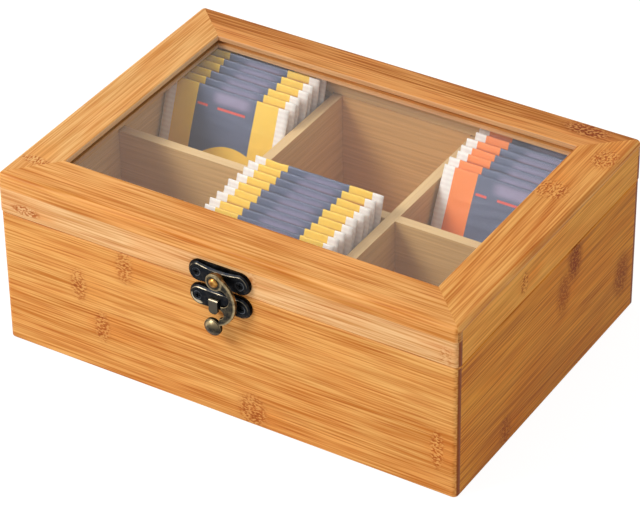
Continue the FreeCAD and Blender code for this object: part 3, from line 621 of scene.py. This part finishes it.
def slate_field(tree, look, away, drop):
    """The middle field's colour: a pale cloud near its top, and two thin bars under that."""
    haze_off = add(tree, "Math", {0: drop, 1: HAZE_DROP}, operation="SUBTRACT")
    haze_near = add(tree, "Math", {0: haze_off}, operation="ABSOLUTE")
    haze = add(tree, "MapRange", {"Value": haze_near, "From Min": HAZE_HALF_HEIGHT,
                                  "From Max": 1.0, "To Max": 0.8},
               interpolation_type="SMOOTHSTEP")
    aside = add(tree, "Math", {0: away, 1: HAZE_SIDE}, operation="SUBTRACT")
    beside = add(tree, "Math", {0: aside}, operation="ABSOLUTE")
    inward = add(tree, "MapRange", {"Value": beside, "From Min": HAZE_HALF_WIDTH,
                                    "From Max": 6.0}, interpolation_type="SMOOTHSTEP")
    haze = add(tree, "Math", {0: haze, 1: inward}, operation="MULTIPLY")
    slate = add(tree, "Mix", {0: haze, 6: tuple(look.slate), 7: tuple(look.haze)}, out=2,
                data_type="RGBA")
    bar_off = add(tree, "Math", {0: drop, 1: BAR_DROP}, operation="SUBTRACT")
    bar_near = add(tree, "Math", {0: bar_off}, operation="ABSOLUTE")
    bar = add(tree, "Math", {0: bar_near, 1: BAR_HALF}, operation="LESS_THAN")
    for start, stop in BARS:
        after = add(tree, "Math", {0: away, 1: start}, operation="GREATER_THAN")
        before = add(tree, "Math", {0: away, 1: stop}, operation="LESS_THAN")
        span = add(tree, "Math", {0: after, 1: before}, operation="MULTIPLY")
        inked = add(tree, "Math", {0: span, 1: bar}, operation="MULTIPLY")
        slate = add(tree, "Mix", {0: inked, 6: slate, 7: tuple(look.bar)}, out=2,
                    data_type="RGBA")
    return slate


def crimped_end(tree, look, drop):
    """A white end's colour, with painted shade between its ridges."""
    ridged = add(tree, "Math", {0: drop, 1: 2 * math.pi / RIDGE_PITCH}, operation="MULTIPLY")
    wave = add(tree, "Math", {0: ridged}, operation="SINE")
    shade = add(tree, "MapRange", {"Value": wave, "From Min": -1.0, "To Min": 0.0, "To Max": 1.0})
    return add(tree, "Mix", {0: shade, 6: tuple(look.end_ridge_shade), 7: tuple(look.end)}, out=2,
               data_type="RGBA")


def sachet_paper(name, look, side, base):
    """Coated paper, printed in flat fields and heat sealed at both ends: a soft sheen, and
    white unprinted ends with pressed ridges. The fields beside the middle one go from the colour
    side near the top to the colour base at the bottom. Painted shade darkens the paper in the gap
    behind the sachet in front, and between the ridges of the ends."""
    material, tree = blank(name)
    slate_half, crimp = look.slate_width * TO_MM / 2, look.crimp * TO_MM
    spot = add(tree, "UVMap", uv_map="print")
    parts = add(tree, "SeparateXYZ", {0: spot}).node.outputs
    away = add(tree, "MapRange", {"Value": parts[0], "To Min": -SACHET_WIDTH / 2,
                                  "To Max": SACHET_WIDTH / 2})
    across = add(tree, "Math", {0: away}, operation="ABSOLUTE")
    drop = add(tree, "MapRange", {"Value": parts[1], "To Min": SACHET_HEIGHT, "To Max": 0.0})
    flat = add(tree, "CombineXYZ", {0: away, 1: drop})

    low = add(tree, "MapRange", {"Value": drop, "From Min": 10.0, "From Max": SACHET_HEIGHT})
    field = add(tree, "Mix", {0: low, 6: side, 7: base}, out=2, data_type="RGBA")
    off_arch = add(tree, "Math", {0: away, 1: ARCH_AT}, operation="SUBTRACT")
    squared = add(tree, "Math", {0: off_arch, 1: off_arch}, operation="MULTIPLY")
    arch = add(tree, "Math", {0: squared, 1: ARCH_RISE / slate_half ** 2, 2: ARCH_DROP},
               operation="MULTIPLY_ADD")
    above = add(tree, "Math", {0: drop, 1: arch}, operation="LESS_THAN")
    middle = add(tree, "Math", {0: across, 1: slate_half}, operation="LESS_THAN")
    slate_part = add(tree, "Math", {0: above, 1: middle}, operation="MULTIPLY")
    field = add(tree, "Mix", {0: slate_part, 6: field, 7: slate_field(tree, look, away, drop)},
                out=2, data_type="RGBA")
    end = add(tree, "Math", {0: across, 1: SACHET_WIDTH / 2 - crimp}, operation="GREATER_THAN")
    printed = add(tree, "Mix", {0: end, 6: field, 7: crimped_end(tree, look, drop)}, out=2,
                  data_type="RGBA")

    # painted shade in the gap behind the sachet in front; the white ends get a fifth of it
    crevice = add(tree, "Attribute", out="Fac", attribute_name="crevice")
    taken = add(tree, "Math", {0: end, 1: -0.8, 2: 1.0}, operation="MULTIPLY_ADD")
    gap_shade_share = add(tree, "Math", {0: crevice, 1: taken}, operation="MULTIPLY")
    printed = add(tree, "Mix", {0: gap_shade_share, 6: printed, 7: colour(PAINTED_GAP_SHADE)}, out=2,
                  data_type="RGBA", blend_type="MULTIPLY")
    mottle = add(tree, "TexNoise", {"Vector": flat, "Scale": 0.25, "Detail": 3.0})
    worn = add(tree, "MapRange", {"Value": mottle, "To Min": 0.9, "To Max": 1.1})
    printed = add(tree, "HueSaturation", {"Color": printed, "Value": worn})

    grit = add(tree, "TexNoise", {"Vector": flat, "Scale": 0.8, "Detail": 3.0})
    relief = add(tree, "Bump", {"Strength": 0.4, "Distance": 0.1 * MM, "Height": grit})
    shader = add(tree, "BsdfPrincipled", {"Base Color": printed, "Roughness": 0.5, "IOR": 1.45,
                                          "Normal": relief})
    add(tree, "OutputMaterial", {"Surface": shader})
    return material


def standing(node):
    """The place of a sachet: its lower middle, its right, its back and its up, from the CAD."""
    points = [v.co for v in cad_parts[node].data.vertices]
    corners = {}
    for sx in (-1, 1):
        for sz in (-1, 1):
            score = [sx * p.x + sz * p.z for p in points]
            best = max(score)
            found = [p for p, s in zip(points, score) if s > best - 0.5 * MM]
            corners[sx, sz] = sum(found, Vector()) / len(found)
    low = (corners[-1, -1] + corners[1, -1]) / 2
    high = (corners[-1, 1] + corners[1, 1]) / 2
    up = (high - low).normalized()
    right = (corners[1, -1] - corners[-1, -1] + corners[1, 1] - corners[-1, 1]).normalized()
    back = up.cross(right).normalized()
    right = back.cross(up)
    turn = Matrix((right, back, up)).transposed().to_4x4()
    middle = (low + high) / 2 - up * SACHET_HEIGHT / 2 * MM
    return Matrix.Translation(middle) @ turn


def fullness(x, z, seal):
    """How much of the belly's thickness a sachet has at a place on its face, from 0 to 1."""
    width = max(0.0, 1 - (abs(x) / seal) ** 2.6)
    t = z / SACHET_HEIGHT
    height = math.sin(math.pi / 2 * t / BELLY_AT) if t < BELLY_AT else \
        math.cos(math.pi / 2 * (t - BELLY_AT) / (1 - BELLY_AT))
    return width * max(0.0, height) ** 0.8


def sachet(name, node, paper, look, seed, cover):
    """One filled sachet: two papers over a tea bag, creased from the seals, with ridged ends.
    Below the height cover its face lies against the sachet in front, and painted shade darkens it
    there for the shadow in the gap. It is modelled upright in mm, where the noise's factors are
    per mm, and then set in its place."""
    bm = bmesh.new()
    bmesh.ops.create_grid(bm, x_segments=COLUMNS, y_segments=ROWS, size=0.5)
    bmesh.ops.scale(bm, vec=(SACHET_WIDTH, SACHET_HEIGHT, 1), verts=bm.verts)
    bmesh.ops.rotate(bm, matrix=Matrix.Rotation(math.pi / 2, 3, "X"), verts=bm.verts)
    bmesh.ops.translate(bm, vec=(0, 0, SACHET_HEIGHT / 2), verts=bm.verts)
    bmesh.ops.solidify(bm, geom=bm.faces[:], thickness=SACHET_EDGE)
    middle = sum(v.co.y for v in bm.verts) / len(bm.verts)
    uv = bm.loops.layers.uv.new("print")
    for face in bm.faces:
        for loop in face.loops:
            co = loop.vert.co
            loop[uv].uv = (co.x / SACHET_WIDTH + 0.5, co.z / SACHET_HEIGHT)
    crimp, belly = look.crimp * TO_MM, look.belly * TO_MM
    seal = SACHET_WIDTH / 2 - crimp
    for v in bm.verts:
        x, z = v.co.x, v.co.z
        side = 1 if v.co.y > middle else -1
        full = fullness(x, z, seal)
        half = SACHET_EDGE / 2 + (belly - SACHET_EDGE) / 2 * full
        crease = noise.noise(Vector((x * 0.03, z * 0.16, seed * 3.1 + side)))
        half -= CREASE_DEPTH * abs(crease) * min(1.0, full * 2.5)
        beyond = max(0.0, abs(x) - seal)
        ridge = RIDGE_DEPTH * math.sin(2 * math.pi * z / RIDGE_PITCH) * min(1.0, beyond)
        bend = END_WAVE * noise.noise(Vector((seed * 1.7, math.copysign(4.0, x), z * 0.03)))
        v.co.y = side * half + ridge + bend * (beyond / crimp) ** 1.5
        dip = TOP_WAVE * noise.noise(Vector((x * 0.12, seed * 2.3, 0.0)))
        v.co.z = z - abs(dip) * (z / SACHET_HEIGHT) ** 8
    bmesh.ops.recalc_face_normals(bm, faces=bm.faces)
    bmesh.ops.transform(bm, matrix=standing(node) @ Matrix.Scale(MM, 4), verts=bm.verts)
    # painted shade: how far each place lies below the top of the sachet in front
    crevice = bm.verts.layers.float.new("crevice")
    for v in bm.verts:
        depth = (cover - v.co.z) * TO_MM
        v[crevice] = max(0.0, min(1.0, (depth - PAINTED_GAP_SHADE_START) / PAINTED_GAP_SHADE_FADE))
    for face in bm.faces:
        face.smooth = True
    return made_object(name, bm, paper)


ROWS_OF_SACHETS = {"left": "yellow", "middle": "yellow", "right": "orange"}


class TEABOX_OT_sachets(bpy.types.Operator):
    """Fill the compartments with tea sachets, leaning as they were put in"""

    bl_idname = "teabox.sachets"
    bl_label = "Tea sachets"

    def execute(self, context):
        look = context.scene.teabox_paper
        for row, kind in ROWS_OF_SACHETS.items():
            side, base = (tuple(getattr(look, kind + part)) for part in ("", "_low"))
            paper = sachet_paper(f"printed_paper_{row}", look, side, base)
            nodes = sorted(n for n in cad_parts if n.startswith(f"sachet_{row}_"))
            cover = 0.0
            for seed, node in enumerate(nodes):
                piece = sachet(node.replace("sachet", "pouch"), node, paper, look,
                               seed + len(row), cover)
                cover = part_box(node)[1][Z]
                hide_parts(node)
                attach(piece, "box")
        return {"FINISHED"}


def backdrop_factor(tree):
    """1 for rays that see the white background, 0 for those that carry light to the box."""
    rays = add(tree, "LightPath").node.outputs
    seen = add(tree, "Math", {0: rays["Is Camera Ray"], 1: rays["Is Glossy Ray"]},
               operation="MAXIMUM")
    seen = add(tree, "Math", {0: seen, 1: rays["Is Transmission Ray"]}, operation="MAXIMUM")
    fresh = add(tree, "Math", {0: rays["Diffuse Depth"], 1: 0.5}, operation="LESS_THAN")
    return add(tree, "Math", {0: seen, 1: fresh}, operation="MULTIPLY")


def direction(azimuth, elevation):
    """The way from the box to a place at an azimuth, counted from the front, and an elevation."""
    return Vector((math.sin(azimuth) * math.cos(elevation),
                   -math.cos(azimuth) * math.cos(elevation), math.sin(elevation)))


def paper_sweep():
    """Matt white paper: as bright as the background, with the box's shadow on it."""
    material, tree = blank("matt_paper_sweep")
    paint = add(tree, "BsdfDiffuse", {"Color": (FLOOR_PAINT, FLOOR_PAINT, FLOOR_PAINT, 1.0)})
    glow = add(tree, "Emission", {"Color": colour("#ffffff"), "Strength": FLOOR_GLOW})
    part = add(tree, "Math", {0: backdrop_factor(tree), 1: GLOW_SHARE}, operation="MULTIPLY")
    mixed = add(tree, "MixShader", {0: part, 1: paint, 2: glow})
    add(tree, "OutputMaterial", {"Surface": mixed})
    return material


def studio_world(ambient):
    """White to look at, and a plain soft light from all round."""
    world = bpy.data.worlds.new("studio")
    world.use_nodes = True
    tree = world.node_tree
    tree.nodes.clear()
    strength = add(tree, "MapRange", {"Value": backdrop_factor(tree), "To Min": ambient,
                                      "To Max": 1.0})
    light = add(tree, "Background", {"Color": colour("#ffffff"), "Strength": strength})
    add(tree, "OutputWorld", {"Surface": light})
    return world


def key_lamp(stage):
    """The soft square lamp."""
    lamp = bpy.data.lights.new("key", "AREA")
    lamp.energy = stage.key_power
    lamp.size = KEY_SIZE
    source = bpy.data.objects.new("key", lamp)
    away = direction(stage.key_azimuth, stage.key_elevation)
    source.location = Vector(AIM) + away * KEY_DISTANCE
    source.rotation_euler = away.to_track_quat("Z", "Y").to_euler()
    return source


def tilted_camera(stage):
    """The camera at its place, turned to look along its azimuth and elevation, and tilted."""
    camera = bpy.data.cameras.new("camera")
    camera.lens = stage.lens
    camera.sensor_width = SENSOR_WIDTH
    camera.clip_start = NEAR_CLIP
    back = direction(stage.azimuth, stage.elevation)
    right = Vector((math.cos(stage.azimuth), math.sin(stage.azimuth), 0))
    up = back.cross(right)
    turned = right * math.cos(stage.roll) + up * math.sin(stage.roll)
    upright = up * math.cos(stage.roll) - right * math.sin(stage.roll)
    turn = Matrix((turned, upright, back)).transposed().to_4x4()
    holder = bpy.data.objects.new("camera", camera)
    holder.matrix_world = Matrix.Translation(Vector(stage.eye)) @ turn
    return holder


class TEABOX_OT_stage(bpy.types.Operator):
    """Set the pale floor, the soft lamp, the white background and the camera"""

    bl_idname = "teabox.stage"
    bl_label = "Stage"

    def execute(self, context):
        scene, stage = context.scene, context.scene.teabox_stage
        bm = bmesh.new()
        bmesh.ops.create_grid(bm, x_segments=1, y_segments=1, size=FLOOR_REACH)
        bmesh.ops.translate(bm, vec=(0, 0, -FLOOR_GAP), verts=bm.verts)
        floor = made_object("floor", bm, paper_sweep())
        scene.world = studio_world(stage.ambient)
        lamp, camera = key_lamp(stage), tilted_camera(stage)
        scene.collection.objects.link(lamp)
        scene.collection.objects.link(camera)
        scene.camera = camera
        scene.view_settings.view_transform = "Standard"
        return {"FINISHED"}


def tint(name, about, text):
    """A colour that a user may change."""
    return bpy.props.FloatVectorProperty(name=name, description=about, subtype="COLOR", size=4,
                                         min=0.0, max=1.0, default=colour(text))


class TeaboxBamboo(bpy.types.PropertyGroup):
    """The strips, the lacquer and the colours of the bamboo"""

    strip_width: bpy.props.FloatProperty(
        name="Strip width", description="Width of one glued strip", default=0.019, min=0.004,
        unit="LENGTH")
    gloss: bpy.props.FloatProperty(
        name="Lacquer roughness", description="Roughness of the satin lacquer", default=0.42,
        min=0.1, max=1.0, subtype="FACTOR")
    front_pale: tint("Box, pale", "Palest fibres of the front, left and back boards", "#edb064")
    front_deep: tint("Box, deep", "Deepest fibres of the front, left and back boards", "#c2762c")
    lid_front_pale: tint("Lid, pale", "Palest fibres of the lid's boards", "#f3c289")
    lid_front_deep: tint("Lid, deep", "Deepest fibres of the lid's boards", "#ce9050")
    # the right boards' tones are darker than the others: painted shade for the side that faces away
    # from the lamp
    side_pale: tint("Right board, pale", "Palest fibres of the right board", "#e2983c")
    side_deep: tint("Right board, deep", "Deepest fibres of the right board", "#b46a24")
    lid_side_pale: tint("Lid's right board, pale", "Its palest fibres", "#f3ae54")
    lid_side_deep: tint("Lid's right board, deep", "Its deepest fibres", "#d18934")
    front_rail_pale: tint("Front rail, pale", "Its palest fibres", "#f0b068")
    front_rail_deep: tint("Front rail, deep", "Its deepest fibres", "#c87e34")
    left_rail_pale: tint("Left rail, pale", "Its palest fibres", "#f0ba76")
    left_rail_deep: tint("Left rail, deep", "Its deepest fibres", "#ce8c44")
    right_rail_pale: tint("Right rail, pale", "Its palest fibres", "#ecac5e")
    right_rail_deep: tint("Right rail, deep", "Its deepest fibres", "#bc6c22")
    back_rail_pale: tint("Back rail, pale", "Its palest fibres", "#e09c58")
    back_rail_deep: tint("Back rail, deep", "Its deepest fibres", "#aa631e")
    bare_pale: tint("Inside, pale", "Palest fibres of the bare inner faces", "#e5bd7c")
    bare_deep: tint("Inside, deep", "Deepest fibres of the bare inner faces", "#d5ab6c")
    bare_back_pale: tint("Back inside, pale", "Its palest fibres", "#e2b06a")
    bare_back_deep: tint("Back inside, deep", "Its deepest fibres", "#d09c58")


class TeaboxMetal(bpy.types.PropertyGroup):
    """The colours of the latch and the hinges, plated and worn"""

    # the worn colours also paint highlights: on slopes that face up, on the plates' left and on the
    # hook's ball
    plate_dark: tint("Plates, plated", "Latch plates where the plating is whole", "#13161c")
    plate_worn: tint("Plates, worn", "Latch plates where they are rubbed", "#cbbb9c")
    screw_dark: tint("Screws, plated", "Screw heads in the hollows", "#101216")
    screw_worn: tint("Screws, worn", "Screw heads on the rim", "#8b9099")
    hook_dark: tint("Hook, plated", "The hook in its hollows", "#262522")
    hook_worn: tint("Hook, worn", "The hook on its edges", "#b7a27a")
    rivet_dark: tint("Rivet, dull", "The rivet where it is dull", "#7d5020")
    rivet_worn: tint("Rivet, bright", "The rivet where it is rubbed", "#cd9a52")
    hinge_dark: tint("Hinges, dull", "The hinges where they are dull", "#a07a40")
    hinge_worn: tint("Hinges, bright", "The hinges where they are rubbed", "#c79c58")


class TeaboxPaper(bpy.types.PropertyGroup):
    """The sizes and the inks of the tea sachets"""

    belly: bpy.props.FloatProperty(
        name="Belly", description="Thickness of a sachet over its tea bag", default=0.0044,
        min=0.001, unit="LENGTH")
    crimp: bpy.props.FloatProperty(
        name="Crimped end", description="Width of a sachet's sealed white end", default=0.0056,
        min=0.001, unit="LENGTH")
    slate_width: bpy.props.FloatProperty(
        name="Slate field", description="Width of the slate field", default=0.0326, min=0.0,
        unit="LENGTH")
    yellow: tint("Yellow", "Yellow fields near the top", "#ffd24c")
    yellow_low: tint("Yellow, low", "Yellow fields near the bottom", "#f8bf45")
    orange: tint("Orange", "Orange fields near the top", "#ff8d40")
    orange_low: tint("Orange, low", "Orange fields near the bottom", "#e86238")
    slate: tint("Slate", "The middle field", "#596078")
    haze: tint("Lilac", "The pale cloud on the middle field", "#a096b4")
    bar: tint("Bars", "The two thin bars", "#e0584c")
    end: tint("Ends", "The white ends", "#fffaf2")
    # painted shade between the ridges of the white ends
    end_ridge_shade: tint("Ends, hollows", "The white ends between their ridges", "#f6eee6")


class TeaboxStage(bpy.types.PropertyGroup):
    """The studio's light and the camera's place"""

    ambient: bpy.props.FloatProperty(
        name="Ambient", description="Light from all round", default=0.62, min=0.0)
    key_power: bpy.props.FloatProperty(
        name="Key power", description="Power of the soft key lamp", default=15.3, min=0.0,
        unit="POWER")
    key_azimuth: bpy.props.FloatProperty(
        name="Key azimuth", description="Side the key lamp shines from",
        default=math.radians(-40), subtype="ANGLE")
    key_elevation: bpy.props.FloatProperty(
        name="Key elevation", description="Height the key lamp shines from",
        default=math.radians(43), subtype="ANGLE")
    lens: bpy.props.FloatProperty(
        name="Lens", description="Focal length", default=180.67, min=10.0, unit="CAMERA")
    azimuth: bpy.props.FloatProperty(
        name="Azimuth", description="Side the camera looks from",
        default=math.radians(31.823), subtype="ANGLE")
    elevation: bpy.props.FloatProperty(
        name="Elevation", description="Height the camera looks from",
        default=math.radians(34.840), subtype="ANGLE")
    roll: bpy.props.FloatProperty(
        name="Roll", description="Tilt of the camera", default=math.radians(-0.869),
        subtype="ANGLE")
    eye: bpy.props.FloatVectorProperty(
        name="Eye", description="The camera's place", default=(0.64579, -1.04293, 0.89049),
        subtype="XYZ", unit="LENGTH")


class TEABOX_PT_panel(bpy.types.Panel):
    """The steps that dress the tea box"""

    bl_idname = "TEABOX_PT_panel"
    bl_label = "Tea box"
    bl_space_type = "VIEW_3D"
    bl_region_type = "UI"
    bl_category = "Tea box"

    def draw(self, context):
        for key, group in GROUPS.items():
            box = self.layout.box()
            for part in group.__annotations__:
                box.prop(getattr(context.scene, key), part)
        for operator in STEPS:
            self.layout.operator(operator.bl_idname)


STEPS = (TEABOX_OT_boards, TEABOX_OT_pane, TEABOX_OT_latch, TEABOX_OT_sachets, TEABOX_OT_stage)
GROUPS = {"teabox_bamboo": TeaboxBamboo, "teabox_metal": TeaboxMetal,
          "teabox_paper": TeaboxPaper, "teabox_stage": TeaboxStage}
CLASSES = (*GROUPS.values(), *STEPS, TEABOX_PT_panel)


def register():
    for each in CLASSES:
        bpy.utils.register_class(each)
    for key, group in GROUPS.items():
        setattr(bpy.types.Scene, key, bpy.props.PointerProperty(type=group))


def unregister():
    for key in GROUPS:
        delattr(bpy.types.Scene, key)
    for each in reversed(CLASSES):
        bpy.utils.unregister_class(each)


def main():
    register()
    bpy.ops.teabox.boards()
    bpy.ops.teabox.pane()
    bpy.ops.teabox.latch()
    bpy.ops.teabox.sachets()
    bpy.ops.teabox.stage()


if __name__ == "__main__":
    main()
